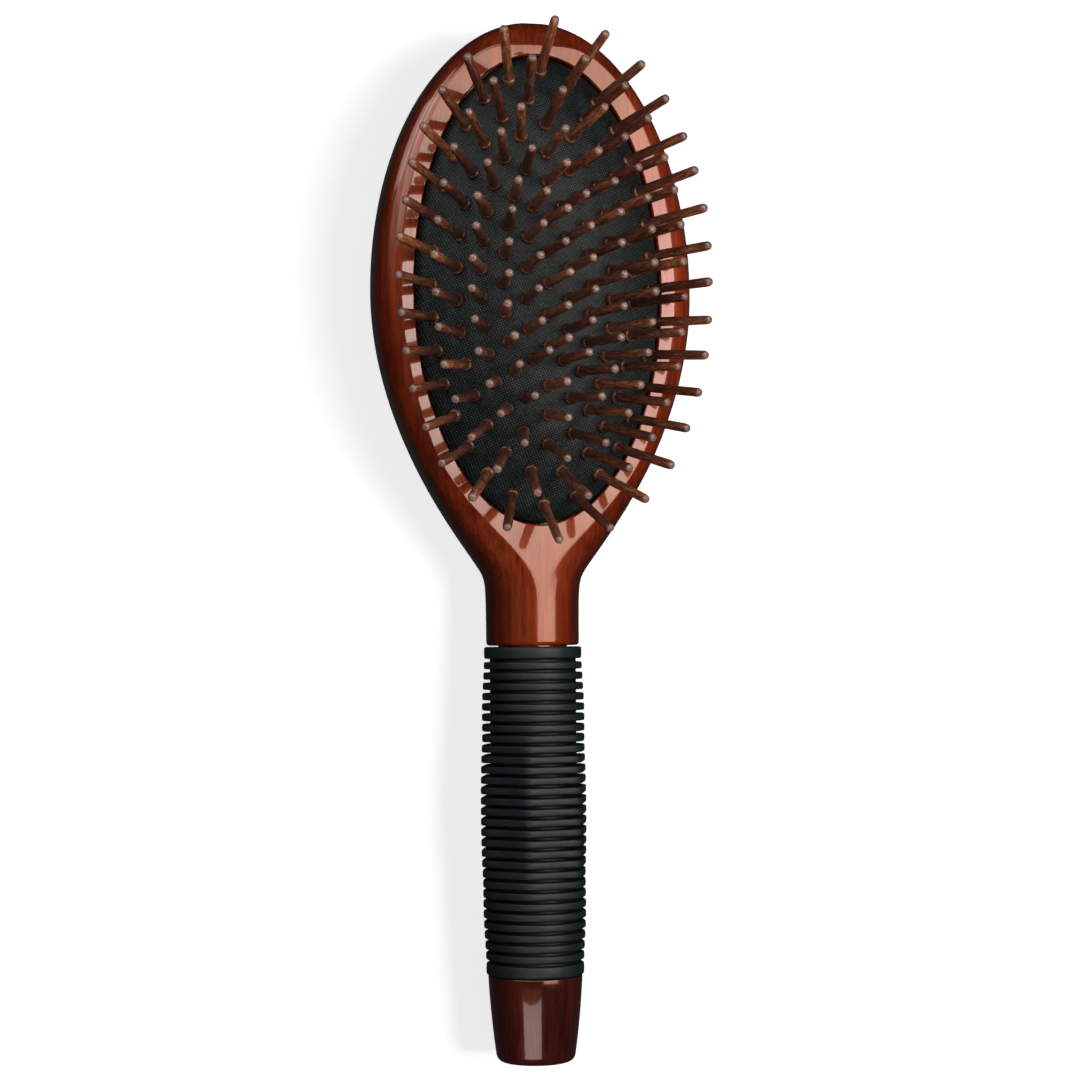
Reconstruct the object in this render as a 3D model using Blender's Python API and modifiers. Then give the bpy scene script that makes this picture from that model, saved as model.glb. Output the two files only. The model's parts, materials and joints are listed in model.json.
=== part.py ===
# Wooden pin brush: an oval wooden head with a crowned air cushion full of wooden pins, a round neck, a ribbed
# rubber grip and a wooden end cap. The brush lies on its back. X runs across it, Y from the cap to the tip of
# the head and Z up through the pins. The origin is on the surface that it rests on, midway along its length.

import math

import bmesh
import bpy
import numpy as np
from mathutils import Matrix, Vector

# Clearances and cuts
seat_gap = 0.0003
slice_gap = 0.0003
overrun = 0.002
weld_distance = 0.00001

# Opening in the head, with the groove that holds the cushion's edge and the air chamber below it
opening_half_width = 0.0290
opening_half_length = 0.0542
lip_depth = 0.0024
groove_height = 0.0022
groove_reach = 0.0012
ledge_spare = 0.00075
chamber_below_ledge = 0.0034

# Wooden head
rim_width = 0.0086
waist_run = 0.0118
waist_blend_share = 0.06
back_flat_depth = 0.0008
face_cut_depth = 0.0011
top_power = 5.0
tip_top_power = 9.3
back_power = 2.2
waist_power = 1.95

# Neck, and the core that carries the grip and the cap
neck_half_width = 0.0108
neck_half_height = 0.0094
neck_length = 0.0160
neck_power = 2.0
neck_edge_radius = 0.0008
neck_blend_length = 0.0360
neck_blend_overlap = 0.0060
spigot_radius = 0.0055
spigot_length = 0.0110

# Ribbed grip: round at its ends, with softly cornered flats round its middle
band_radius = 0.0113
grip_swell = 0.0013
rib_depth = 0.0013
sleeve_wall = 0.0017
rib_count = 29
rib_width = 0.00162
rib_spacing = 0.00077
collar_width = 0.00275
end_band_width = 0.00275
facet_count = 6
facet_corner_turn = math.radians(-18)
facet_corner_power = 14
facet_radius_share = 0.948
facet_start_share = 0.12
facet_run_share = 0.24

# End cap
cap_length = 0.0195
cap_radius = 0.0109
cap_taper = 0.0017
cap_swell_share = 0.45
cap_corner_radius = 0.0020

# Cushion
crown_height = 0.0100
crown_power = 2.55
ridge_half_length = 0.0165
cushion_thickness = 0.0020
edge_width = 0.00145

# Pins: rows from the rim inwards, then a single row along the middle
row_inset = 0.0035
pins_per_row = (32, 28, 26, 20, 14)
tip_pins_per_row = (7, 6, 7, 5, 3)
middle_pins = 5
middle_end_inset = 0.0021
pin_length = 0.0188
pin_radius = 0.00108
pin_tip_radius = 0.00070
pin_tip_height = 0.00025
pin_collar_step = 0.00047
pin_collar_height = 0.0013
pin_collar_slope = 0.0003

# Fineness of the curved surfaces
body_sides = 28
tip_stations = 9
last_tip_turn = math.radians(89)
waist_stations = 15
oval_sides = 40
grip_sides = 18
cap_sides = 24
cap_steps = 6
cap_corner_steps = 3
pin_sides = 5
arc_samples = 720
slice_rows = 1
slice_steps_per_pin = 2

# Sizes and places worked out from those above. A reach is a distance from the cushion's centre.
tip_reach = opening_half_length + rim_width
head_half_width = opening_half_width + rim_width
waist_reach = opening_half_length + waist_run
neck_end_reach = waist_reach + neck_length
neck_blend_start = waist_reach + neck_blend_overlap - neck_blend_length
grip_start = neck_end_reach + seat_gap
grip_length = collar_width + rib_count * (rib_spacing + rib_width) + rib_spacing + end_band_width
core_end_reach = grip_start + grip_length + seat_gap
cap_start = core_end_reach + seat_gap
cap_reach = cap_start + cap_length
head_y = (tip_reach + cap_reach) / 2 - tip_reach
axis_z = band_radius + grip_swell
rim_z = axis_z + neck_half_height
head_top_rise = neck_half_height + face_cut_depth
head_back_depth = axis_z + back_flat_depth
groove_floor_depth = lip_depth + groove_height
chamber_depth = groove_floor_depth + chamber_below_ledge
ledge_width = edge_width + ledge_spare
rib_groove_radius = band_radius - rib_depth
sleeve_bore_radius = rib_groove_radius - sleeve_wall
core_radius = sleeve_bore_radius - seat_gap
crown_pull_in = opening_half_length - ridge_half_length
row_step = (opening_half_width - row_inset) / len(pins_per_row)
middle_pin_spacing = 2 * (ridge_half_length - middle_end_inset) / (middle_pins - 1)
pin_collar_radius = pin_radius + pin_collar_step
pin_root = cushion_thickness / 2


def clear_scene():
    for old in list(bpy.data.objects):
        bpy.data.objects.remove(old, do_unlink=True)


def new_collection(name):
    collection = bpy.data.collections.new(name)
    bpy.context.scene.collection.children.link(collection)
    return collection


def new_material(name, colour, roughness):
    material = bpy.data.materials.new(name)
    material.use_nodes = True
    shader = material.node_tree.nodes["Principled BSDF"]
    shader.inputs["Base Color"].default_value = (*colour, 1)
    shader.inputs["Roughness"].default_value = roughness
    shader.inputs["Metallic"].default_value = 0
    material.diffuse_color = (*colour, 1)
    return material


def new_empty(name, location, collection):
    empty = bpy.data.objects.new(name, None)
    empty.location = location
    collection.objects.link(empty)
    return empty


def new_object(name, mesh, collection, parent=None, material=None):
    piece = bpy.data.objects.new(name, mesh)
    collection.objects.link(piece)
    piece.parent = parent
    if material:
        mesh.materials.append(material)
    return piece


def new_cutter(name, mesh, collection, parent=None):
    cutter = new_object(name, mesh, collection, parent)
    cutter.hide_render = True
    cutter.display_type = "WIRE"
    return cutter


def box_cutter(name, size, centre, collection):
    mesh_data = bmesh.new()
    bmesh.ops.create_cube(mesh_data, size=1, matrix=Matrix.Diagonal((*size, 1)))
    mesh = bpy.data.meshes.new(name)
    mesh_data.to_mesh(mesh)
    mesh_data.free()
    cutter = new_cutter(name, mesh, collection)
    cutter.location = centre
    return cutter


def boolean(piece, other, operation):
    modifier = piece.modifiers.new(other.name, "BOOLEAN")
    modifier.operation = operation
    modifier.object = other
    modifier.solver = "EXACT"


def loft(name, loops, ring=False):
    """A closed mesh through loops of points: capped at both ends, or joined last to first as a ring."""
    mesh_data = bmesh.new()
    rows = [[mesh_data.verts.new(point) for point in loop] for loop in loops]
    pairs = list(zip(rows, rows[1:]))
    if ring:
        pairs.append((rows[-1], rows[0]))
    for row, following in pairs:
        for i in range(len(row)):
            j = (i + 1) % len(row)
            mesh_data.faces.new((row[i], row[j], following[j], following[i]))
    if not ring:
        mesh_data.faces.new(rows[0])
        mesh_data.faces.new(rows[-1])
    bmesh.ops.recalc_face_normals(mesh_data, faces=mesh_data.faces)
    mesh = bpy.data.meshes.new(name)
    mesh_data.to_mesh(mesh)
    mesh_data.free()
    return mesh


def smooth(piece, angle_degrees=35):
    piece.data.shade_smooth()
    piece.data.set_sharp_from_angle(angle=math.radians(angle_degrees))


def profile_mesh(name, profile):
    """An open line through (radius, height) points, to be turned about Z."""
    mesh = bpy.data.meshes.new(name)
    edges = [(i, i + 1) for i in range(len(profile) - 1)]
    mesh.from_pydata([(radius, 0, height) for radius, height in profile], edges, [])
    return mesh


def turn_profile(piece, sides):
    screw = piece.modifiers.new("turned", "SCREW")
    screw.steps = sides
    screw.render_steps = sides
    screw.use_merge_vertices = True
    screw.merge_threshold = weld_distance


def turned(name, profile, sides, collection, handle_axis, material):
    """A turned piece: profile points are (radius, reach from the cushion's centre), tip side first."""
    mesh = profile_mesh(name, [(radius, -reach) for radius, reach in profile])
    piece = new_object(name, mesh, collection, handle_axis, material)
    piece.rotation_euler = (math.radians(-90), 0, 0)
    turn_profile(piece, sides)
    return piece


def section(reach, half_width, rise, depth, rise_power, depth_power):
    """One cross-section round the handle's axis: a superellipse whose upper and lower halves differ."""
    points = []
    for i in range(body_sides):
        angle = math.tau * i / body_sides
        across, up = math.cos(angle), math.sin(angle)
        power = rise_power if up >= 0 else depth_power
        height = rise if up >= 0 else depth
        x = half_width * math.copysign(abs(across) ** (2 / power), across)
        points.append((x, -reach, height * math.copysign(abs(up) ** (2 / power), up)))
    return points


def head_section(reach):
    """The section at a distance from the cushion's centre: negative towards the tip, positive to the neck."""
    if reach < 0:
        along = -reach / tip_reach
        half_width = head_half_width * math.sqrt(1 - along**2)
        rise = head_top_rise * (1 - along**tip_top_power) ** (1 / top_power)
        depth = head_back_depth * (1 - along**back_power) ** (1 / back_power)
        return section(reach, half_width, rise, depth, top_power, back_power)
    flare = 1 - (reach / waist_reach) ** waist_power
    flare = (flare + math.hypot(flare, waist_blend_share)) / 2
    half_width = neck_half_width + (head_half_width - neck_half_width) * flare
    blend = min(max((reach - neck_blend_start) / neck_blend_length, 0), 1)
    blend = blend * blend * (3 - 2 * blend)
    rise = head_top_rise + (neck_half_height - head_top_rise) * blend
    depth = head_back_depth + (neck_half_height - head_back_depth) * blend
    rise_power = top_power + (neck_power - top_power) * blend
    depth_power = back_power + (neck_power - back_power) * blend
    return section(reach, half_width, rise, depth, rise_power, depth_power)


def round_section(reach, radius):
    return section(reach, radius, radius, radius, neck_power, neck_power)


def wooden_body_mesh():
    loops = []
    for i in range(tip_stations, 0, -1):
        loops.append(head_section(-tip_reach * math.sin(last_tip_turn * i / tip_stations)))
    neck_straight = neck_end_reach - neck_edge_radius
    for i in range(waist_stations + 1):
        loops.append(head_section(neck_straight * i / waist_stations))
    inner_width = neck_half_width - neck_edge_radius
    inner_height = neck_half_height - neck_edge_radius
    loops.append(section(neck_end_reach, inner_width, inner_height, inner_height, neck_power, neck_power))
    loops.append(round_section(neck_end_reach, core_radius))
    loops.append(round_section(core_end_reach, core_radius))
    loops.append(round_section(core_end_reach, spigot_radius))
    loops.append(round_section(core_end_reach + spigot_length, spigot_radius))
    return loft("wooden_body", loops)


def oval(half_width, half_length, z):
    """An oval round the cushion's centre, at a height above the rim."""
    points = []
    for i in range(oval_sides):
        turn = math.tau * i / oval_sides
        points.append((-half_width * math.sin(turn), half_length * math.cos(turn), z))
    return points


def opening_oval(outset, depth):
    return oval(opening_half_width + outset, opening_half_length + outset, -depth)


def build_wooden_body(collection, cutters, handle_axis, cushion_centre, material):
    body = new_object("wooden_body", wooden_body_mesh(), collection, handle_axis, material)
    width, length = 2 * (head_half_width + overrun), 2 * (tip_reach + cap_reach)
    above = box_cutter("face_cutter", (width, length, face_cut_depth + overrun),
                       (0, 0, rim_z + (face_cut_depth + overrun) / 2), cutters)
    below = box_cutter("back_cutter", (width, length, back_flat_depth + overrun),
                       (0, 0, -(back_flat_depth + overrun) / 2), cutters)
    recess = new_cutter("recess_cutter", loft("recess_cutter", [
        opening_oval(0, -overrun),
        opening_oval(0, lip_depth),
        opening_oval(groove_reach, lip_depth),
        opening_oval(groove_reach, groove_floor_depth),
        opening_oval(-ledge_width, groove_floor_depth),
        opening_oval(-ledge_width, chamber_depth),
    ]), cutters, cushion_centre)
    for cutter in (above, below, recess):
        boolean(body, cutter, "DIFFERENCE")
    smooth(body)


def grip_ring(radius, reach, flatness=0):
    """A ring of points round the handle's axis, from a circle at flatness 0 to soft-cornered flats at 1."""
    points = []
    for i in range(grip_sides):
        turn = facet_corner_turn + math.tau * i / grip_sides
        flats = 0
        for j in range(facet_count // 2):
            facet_turn = facet_corner_turn + math.tau * (j + 0.5) / facet_count
            flats += abs(math.cos(turn - facet_turn)) ** facet_corner_power
        faceted = facet_radius_share * flats ** (-1 / facet_corner_power)
        reached = radius * (1 + flatness * (faceted - 1))
        points.append((reached * math.sin(turn), -reach, reached * math.cos(turn)))
    return points


def build_grip(collection, handle_axis, material):
    """The sleeve: its bore, then the collar, the ribs with a groove before each, and the end band."""
    reach = grip_start
    rings = [grip_ring(sleeve_bore_radius, reach)]
    widths = [collar_width] + [rib_width] * rib_count + [end_band_width]
    for i, width in enumerate(widths):
        rib_share = min(max((i - 0.5) / rib_count, 0), 1)
        blend = min(max((min(rib_share, 1 - rib_share) - facet_start_share) / facet_run_share, 0), 1)
        flatness = blend * blend * (3 - 2 * blend)
        radius = band_radius + grip_swell * math.sin(math.pi * rib_share)
        if i > 0:
            rings.append(grip_ring(rib_groove_radius, reach))
            reach += rib_spacing
            rings.append(grip_ring(rib_groove_radius, reach))
        rings.append(grip_ring(radius, reach, flatness))
        reach += width
        rings.append(grip_ring(radius, reach, flatness))
    rings.append(grip_ring(sleeve_bore_radius, reach))
    sleeve = loft("grip_sleeve", rings, ring=True)
    smooth(new_object("grip_sleeve", sleeve, collection, handle_axis, material))


def build_end_cap(collection, handle_axis, material):
    socket_radius = spigot_radius + seat_gap
    socket_end = core_end_reach + spigot_length + seat_gap
    profile = [(0, socket_end), (socket_radius, socket_end)]
    profile += [(socket_radius, cap_start), (cap_radius, cap_start)]
    side_length = cap_length - cap_corner_radius
    for i in range(1, cap_steps + 1):
        share = i / cap_steps
        taper = cap_taper * ((1 - cap_swell_share) * share + cap_swell_share * share**2)
        profile.append((cap_radius - taper, cap_start + side_length * share))
    for i in range(1, cap_corner_steps + 1):
        turn = math.radians(90) * i / cap_corner_steps
        radius = cap_radius - cap_taper - cap_corner_radius * (1 - math.cos(turn))
        profile.append((radius, cap_reach - cap_corner_radius * (1 - math.sin(turn))))
    profile.append((0, cap_reach))
    smooth(turned("end_cap", profile, cap_sides, collection, handle_axis, material))


def crown_point(inset, turn):
    """A point of the cushion's upper surface, from the cushion's centre on the rim's plane.

    The inset is its share of the way in from the opening's edge to the ridge along the middle.
    """
    x = -opening_half_width * (1 - inset) * math.sin(turn)
    y = (opening_half_length - crown_pull_in * inset) * math.cos(turn)
    return Vector((x, y, crown_height * (1 - (1 - inset) ** crown_power)))


def crown_normal(inset, turn):
    inwards = Vector((opening_half_width * math.sin(turn), -crown_pull_in * math.cos(turn),
                      crown_height * crown_power * (1 - inset) ** (crown_power - 1)))
    around = Vector((-opening_half_width * (1 - inset) * math.cos(turn),
                     -(opening_half_length - crown_pull_in * inset) * math.sin(turn), 0))
    normal = around.cross(inwards).normalized()
    return normal if normal.z > 0 else -normal


def turns_along(inset, shares):
    """Turns that lie at these shares of the way round one oval of the cushion, from the tip by the left."""
    turns = np.linspace(-math.pi, math.tau, arc_samples + 1)
    x = opening_half_width * (1 - inset) * np.sin(turns)
    y = (opening_half_length - crown_pull_in * inset) * np.cos(turns)
    along = np.concatenate([[0], np.cumsum(np.hypot(np.diff(x), np.diff(y)))])
    start = np.interp(0, turns, along)
    whole = along[-1] - start
    return np.interp(start + np.asarray(shares) * whole, along, turns)


def row_inset_share(row):
    return (row_inset + row * row_step) / opening_half_width


def slice_bounds(row):
    """The insets between which one row's slice of the cushion lies, without the gap to its neighbours."""
    outer = edge_width / opening_half_width
    if row > 0:
        outer = (row_inset_share(row - 1) + row_inset_share(row)) / 2
    return outer, (row_inset_share(row) + row_inset_share(row + 1)) / 2


def side_gap_turn(inset, turn):
    """The turn that moves a slice's side wall half a gap away from its neighbour's."""
    around = Vector((opening_half_width * (1 - inset) * math.cos(turn),
                     (opening_half_length - crown_pull_in * inset) * math.sin(turn)))
    outwards = Vector((-opening_half_width * math.sin(turn), crown_pull_in * math.cos(turn))).normalized()
    return slice_gap / 2 / abs(around.cross(outwards))


def slice_mesh(name, outer, inner, turns, whole_oval=False):
    """A slice of the cushion with upright walls, through these turns."""
    mesh_data = bmesh.new()
    half_gap = slice_gap / 2 / opening_half_width
    outer += half_gap
    inner = inner if whole_oval else inner - half_gap
    rows = []
    for i in range(slice_rows + 1):
        inset = outer + (inner - outer) * i / slice_rows
        row_turns = np.array(turns)
        if not whole_oval:
            row_turns[0] += side_gap_turn(inset, turns[0])
            row_turns[-1] -= side_gap_turn(inset, turns[-1])
        rows.append([mesh_data.verts.new(crown_point(inset, turn)) for turn in row_turns])
    for row, following in zip(rows, rows[1:]):
        for j in range(len(turns) - 1):
            mesh_data.faces.new((row[j], row[j + 1], following[j + 1], following[j]))
    if whole_oval:
        bmesh.ops.remove_doubles(mesh_data, verts=mesh_data.verts, dist=weld_distance)
    grown = bmesh.ops.extrude_face_region(mesh_data, geom=mesh_data.faces[:])
    below = [item for item in grown["geom"] if isinstance(item, bmesh.types.BMVert)]
    bmesh.ops.translate(mesh_data, verts=below, vec=(0, 0, -cushion_thickness))
    bmesh.ops.recalc_face_normals(mesh_data, faces=mesh_data.faces)
    mesh = bpy.data.meshes.new(name)
    mesh_data.to_mesh(mesh)
    mesh_data.free()
    return mesh


def pin_mesh(guides):
    """One pin, standing on the cushion's surface at the origin, with its root below."""
    profile = [
        (0, pin_length),
        (pin_tip_radius, pin_length - pin_tip_height),
        (pin_radius, pin_collar_height),
        (pin_collar_radius, pin_collar_height - pin_collar_slope),
        (pin_collar_radius, -pin_root),
        (0, -pin_root),
    ]
    guide = new_cutter("pin_profile", profile_mesh("pin_profile", profile), guides)
    turn_profile(guide, pin_sides)
    evaluated = guide.evaluated_get(bpy.context.evaluated_depsgraph_get())
    return bpy.data.meshes.new_from_object(evaluated)


def pins_at(name, pin, places, guides, cushion_centre):
    """Pins in one mesh, each square to the cushion at its (inset, turn)."""
    mesh_data = bmesh.new()
    for inset, turn in places:
        lean = Vector((0, 0, 1)).rotation_difference(crown_normal(inset, turn))
        placed = pin.copy()
        placed.transform(Matrix.Translation(crown_point(inset, turn)) @ lean.to_matrix().to_4x4())
        mesh_data.from_mesh(placed)
        bpy.data.meshes.remove(placed)
    mesh = bpy.data.meshes.new(name)
    mesh_data.to_mesh(mesh)
    mesh_data.free()
    return new_cutter(name, mesh, guides, cushion_centre)


def build_pin_rows(collection, guides, cushion_centre, material):
    pin = pin_mesh(guides)
    side_names = ("tip", "left", "neck", "right")
    for row, count in enumerate(pins_per_row):
        tip_pins = tip_pins_per_row[row]
        stagger = 0 if tip_pins % 2 else 0.5
        inset = row_inset_share(row)
        outer, inner = slice_bounds(row)
        half_tip = tip_pins / 2
        ends = [-half_tip, half_tip, count / 2 - half_tip, count / 2 + half_tip, count - half_tip]
        for side, low, high in zip(side_names, ends, ends[1:]):
            name = f"pin_row_{row + 1}_{side}"
            numbers = [i + stagger for i in range(-count // 2, count) if low < i + stagger < high]
            turns = turns_along(inset, [number / count for number in numbers])
            from_turn, to_turn = turns_along(inset, [low / count, high / count])
            steps = np.linspace(from_turn, to_turn, slice_steps_per_pin * len(numbers) + 1)
            mesh = slice_mesh(name, outer, inner, steps)
            piece = new_object(name, mesh, collection, cushion_centre, material)
            places = [(inset, turn) for turn in turns]
            boolean(piece, pins_at(name + "_pins", pin, places, guides, cushion_centre), "UNION")
            smooth(piece)
    build_middle_row(collection, guides, cushion_centre, material, pin)


def build_middle_row(collection, guides, cushion_centre, material, pin):
    outer, _ = slice_bounds(len(pins_per_row))
    steps = np.linspace(0, math.tau, slice_steps_per_pin * pins_per_row[-1] + 1)
    mesh = slice_mesh("pin_row_middle", outer, 1, steps, whole_oval=True)
    piece = new_object("pin_row_middle", mesh, collection, cushion_centre, material)
    places = []
    for i in range(middle_pins):
        y = middle_pin_spacing * (i - (middle_pins - 1) / 2)
        places.append((1, math.acos(y / ridge_half_length)))
    boolean(piece, pins_at("pin_row_middle_pins", pin, places, guides, cushion_centre), "UNION")
    smooth(piece)


def build_cushion_edge(collection, cushion_centre, material):
    """The cushion's fixed edge: a wall inside the opening, on a flange that sits in the groove."""
    inset = (edge_width - slice_gap) / opening_half_width
    inner_half_width = opening_half_width * (1 - inset)
    inner_half_length = opening_half_length - crown_pull_in * inset
    inner_top = crown_point(inset, 0).z
    foot = groove_floor_depth - seat_gap
    mesh = loft("cushion_edge", [
        opening_oval(-seat_gap, 0),
        oval(inner_half_width, inner_half_length, inner_top),
        oval(inner_half_width, inner_half_length, -foot),
        opening_oval(groove_reach - seat_gap, foot),
        opening_oval(groove_reach - seat_gap, lip_depth + seat_gap),
        opening_oval(-seat_gap, lip_depth + seat_gap),
    ], ring=True)
    smooth(new_object("cushion_edge", mesh, collection, cushion_centre, material))


def main():
    clear_scene()
    brush = new_collection("wooden_pin_brush")
    cutters = new_collection("cutters")
    lacquered_wood = new_material("lacquered_wood", (0.19, 0.035, 0.012), 0.12)
    dark_wood = new_material("dark_wood", (0.055, 0.010, 0.006), 0.12)
    grip_rubber = new_material("grip_rubber", (0.016, 0.019, 0.020), 0.55)
    cushion_rubber = new_material("cushion_rubber", (0.020, 0.025, 0.027), 0.60)
    pin_wood = new_material("pin_wood", (0.14, 0.055, 0.022), 0.45)
    handle_axis = new_empty("handle_axis", (0, head_y, axis_z), brush)
    cushion_centre = new_empty("cushion_centre", (0, head_y, rim_z), brush)
    build_wooden_body(brush, cutters, handle_axis, cushion_centre, lacquered_wood)
    build_grip(brush, handle_axis, grip_rubber)
    build_end_cap(brush, handle_axis, dark_wood)
    build_cushion_edge(brush, cushion_centre, cushion_rubber)
    build_pin_rows(brush, cutters, cushion_centre, pin_wood)


main()
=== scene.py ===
import json
import math
import random

import bmesh
import bpy
import numpy as np
from mathutils import Matrix, Vector


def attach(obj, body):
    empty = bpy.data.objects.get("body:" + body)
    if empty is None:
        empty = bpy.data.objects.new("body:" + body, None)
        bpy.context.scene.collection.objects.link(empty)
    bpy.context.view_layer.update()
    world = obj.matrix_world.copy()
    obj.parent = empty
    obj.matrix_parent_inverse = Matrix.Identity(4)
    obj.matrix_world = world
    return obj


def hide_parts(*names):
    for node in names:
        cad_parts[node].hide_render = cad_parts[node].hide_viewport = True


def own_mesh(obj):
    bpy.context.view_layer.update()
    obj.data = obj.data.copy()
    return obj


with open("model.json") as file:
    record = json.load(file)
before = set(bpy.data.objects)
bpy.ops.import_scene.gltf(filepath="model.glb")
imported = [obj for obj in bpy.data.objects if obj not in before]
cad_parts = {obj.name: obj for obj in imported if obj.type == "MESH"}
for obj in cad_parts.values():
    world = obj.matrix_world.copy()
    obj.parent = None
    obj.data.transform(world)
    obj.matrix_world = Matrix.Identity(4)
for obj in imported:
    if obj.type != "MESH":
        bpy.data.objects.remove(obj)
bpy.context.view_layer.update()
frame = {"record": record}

# Looks of the wooden pin brush. X runs across it, Y from the cap to the tip of the head and Z up
# through the pins. The brush lies on its back. Sizes in millimetres are the solids' own, so that
# each piece sits where its solid does, and only the flat face's edge and the grip's facets are a
# little crisper than the solids'.
mm = 0.001

# Opening in the head, with the groove that holds the cushion's edge and the air chamber below it
opening_half_width, opening_half_length = 29.0, 54.2
lip_depth, groove_height, groove_reach = 2.4, 2.2, 1.2
ledge_width, chamber_below_ledge = 2.2, 3.4
lip_radius = 0.5

# Head, neck, and the core that carries the grip and the cap
rim_width, waist_run, waist_blend = 8.6, 11.8, 0.06
face_cut, back_cut = 1.24, 0.8
top_power, tip_top_power, back_power, waist_power, neck_power = 5.0, 7.2, 2.2, 1.95, 2.0
neck_half_width, neck_half_height, neck_length, neck_edge_radius = 10.8, 9.4, 16.0, 0.8
neck_blend_length, neck_blend_overlap = 36.0, 6.0
core_radius, spigot_radius, spigot_length = 8.0, 5.5, 11.0
gap = 0.3

# Grip and end cap
band_radius, grip_swell, rib_depth, bore_radius = 11.3, 1.3, 1.3, 8.3
rib_count, rib_width, rib_spacing = 29, 1.62, 0.77
collar_width, end_band_width = 2.75, 2.75
facet_count, facet_turn, facet_power, facet_radius = 6, math.radians(-18), 20, 0.942
facet_start, facet_run = 0.12, 0.24
cap_length, cap_radius, cap_taper, cap_swell, cap_corner = 19.5, 10.9, 1.7, 0.45, 2.0

# Cushion, and its pins in rows from the rim inwards, then a single row along the middle
crown_height, crown_power, ridge_half_length = 10.0, 2.55, 16.5
cushion_thickness = 2.0
row_inset = 3.5
pins_per_row = (32, 28, 26, 20, 14)
tip_pins_per_row = (7, 6, 7, 5, 3)
middle_pins, middle_end_inset = 5, 2.1

# Sizes and places worked out from those above. Reaches, starts and ends are distances from the
# cushion's centre towards the cap, apart from the tip's, which lies the other way.
tip_reach = opening_half_length + rim_width
head_half_width = opening_half_width + rim_width
waist_reach = opening_half_length + waist_run
neck_end = waist_reach + neck_length
neck_blend_start = waist_reach + neck_blend_overlap - neck_blend_length
grip_start = neck_end + gap
grip_length = collar_width + rib_count * (rib_spacing + rib_width) + rib_spacing + end_band_width
core_end = grip_start + grip_length + gap
cap_start = core_end + gap
cap_end = cap_start + cap_length
head_y = (cap_end - tip_reach) / 2
axis_z = band_radius + grip_swell
rim_z = axis_z + neck_half_height
head_rise = neck_half_height + face_cut
head_depth = axis_z + back_cut
crown_pull_in = opening_half_length - ridge_half_length


def clamp(value):
    return min(max(value, 0), 1)


def smoothstep(value):
    value = clamp(value)
    return value * value * (3 - 2 * value)


def quarter_round(radius, steps):
    """Points along a rounded corner, as distances inwards from one side and along it."""
    turns = [math.radians(90) * i / steps for i in range(steps + 1)]
    return [(radius * (1 - math.sin(turn)), radius * (1 - math.cos(turn))) for turn in turns]


def new_mesh(name, points, faces):
    """A mesh from points in millimetres and faces."""
    mesh = bpy.data.meshes.new(name)
    mesh.from_pydata([tuple(c * mm for c in point) for point in points], [], faces)
    return mesh


def finish_piece(name, mesh, angle):
    """A smooth-shaded object, sharp where faces meet at more than this angle in degrees."""
    work = bmesh.new()
    work.from_mesh(mesh)
    bmesh.ops.remove_doubles(work, verts=work.verts, dist=0.000001)
    bmesh.ops.recalc_face_normals(work, faces=work.faces)
    work.to_mesh(mesh)
    work.free()
    piece = bpy.data.objects.new(name, mesh)
    bpy.context.scene.collection.objects.link(piece)
    mesh.shade_smooth()
    mesh.set_sharp_from_angle(angle=math.radians(angle))
    return piece


def ring_faces(rings, sides, first=0, closed_rings=False):
    """Quads between rings of points that are numbered one ring after another."""
    faces = []
    for i in range(rings if closed_rings else rings - 1):
        for j in range(sides):
            a, b = first + i * sides, first + (i + 1) % rings * sides
            faces.append((a + j, a + (j + 1) % sides, b + (j + 1) % sides, b + j))
    return faces


# Wooden body. The flat face's edge is a softly rounded crease. The sections stand closest where
# the flat starts near the tip, and the points of each section beside the crease.
crease_depth, crease_margin = 0.09, 0.6
least_crease, crease_fraction = 0.3, 20
crease_steps, past_crease = 6, (0.06, 0.13, 0.22, 0.36, 0.6)
most_near_share, least_step = 0.25, 0.03
upper_samples, fine_samples, lower_samples = 900, 300, 600
fine_width, widest_fine_share = 3, 0.97
tip_turns = (89.6, 88.4, 87, 85.5, 84, 82, 80, 78, 76, 74, 72, 70.5, 69, 68)
flat_start_reaches = [-57.8, -57.4, -57.1, *(-56.9 + 0.1 * i for i in range(14)),
                      -55.4, -55.1, -54.6]
head_reaches = [-54 + 1.25 * i for i in range(84)]
neck_reaches = [51 + 0.75 * i for i in range(41)]
edge_steps, opening_sides = 6, 176


def body_sizes(reach):
    """Half width, rise, depth and the two powers of the wood's section at a reach."""
    if reach < 0:
        along = min(-reach / tip_reach, 1)
        half_width = head_half_width * math.sqrt(1 - along**2)
        rise = head_rise * (1 - along**tip_top_power) ** (1 / top_power)
        depth = head_depth * (1 - along**back_power) ** (1 / back_power)
        return half_width, rise, depth, top_power, back_power
    flare = 1 - (reach / waist_reach) ** waist_power
    flare = (flare + math.hypot(flare, waist_blend)) / 2
    half_width = neck_half_width + (head_half_width - neck_half_width) * flare
    blend = smoothstep((reach - neck_blend_start) / neck_blend_length)
    return (half_width,
            head_rise + (neck_half_height - head_rise) * blend,
            head_depth + (neck_half_height - head_depth) * blend,
            top_power + (neck_power - top_power) * blend,
            back_power + (neck_power - back_power) * blend)


def soft_min(a, b, blend):
    """The smaller of two heights, with a rounded change from one to the other."""
    share = np.clip(0.5 + 0.5 * (b - a) / blend, 0, 1)
    return b + (a - b) * share - blend * share * (1 - share)


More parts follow.
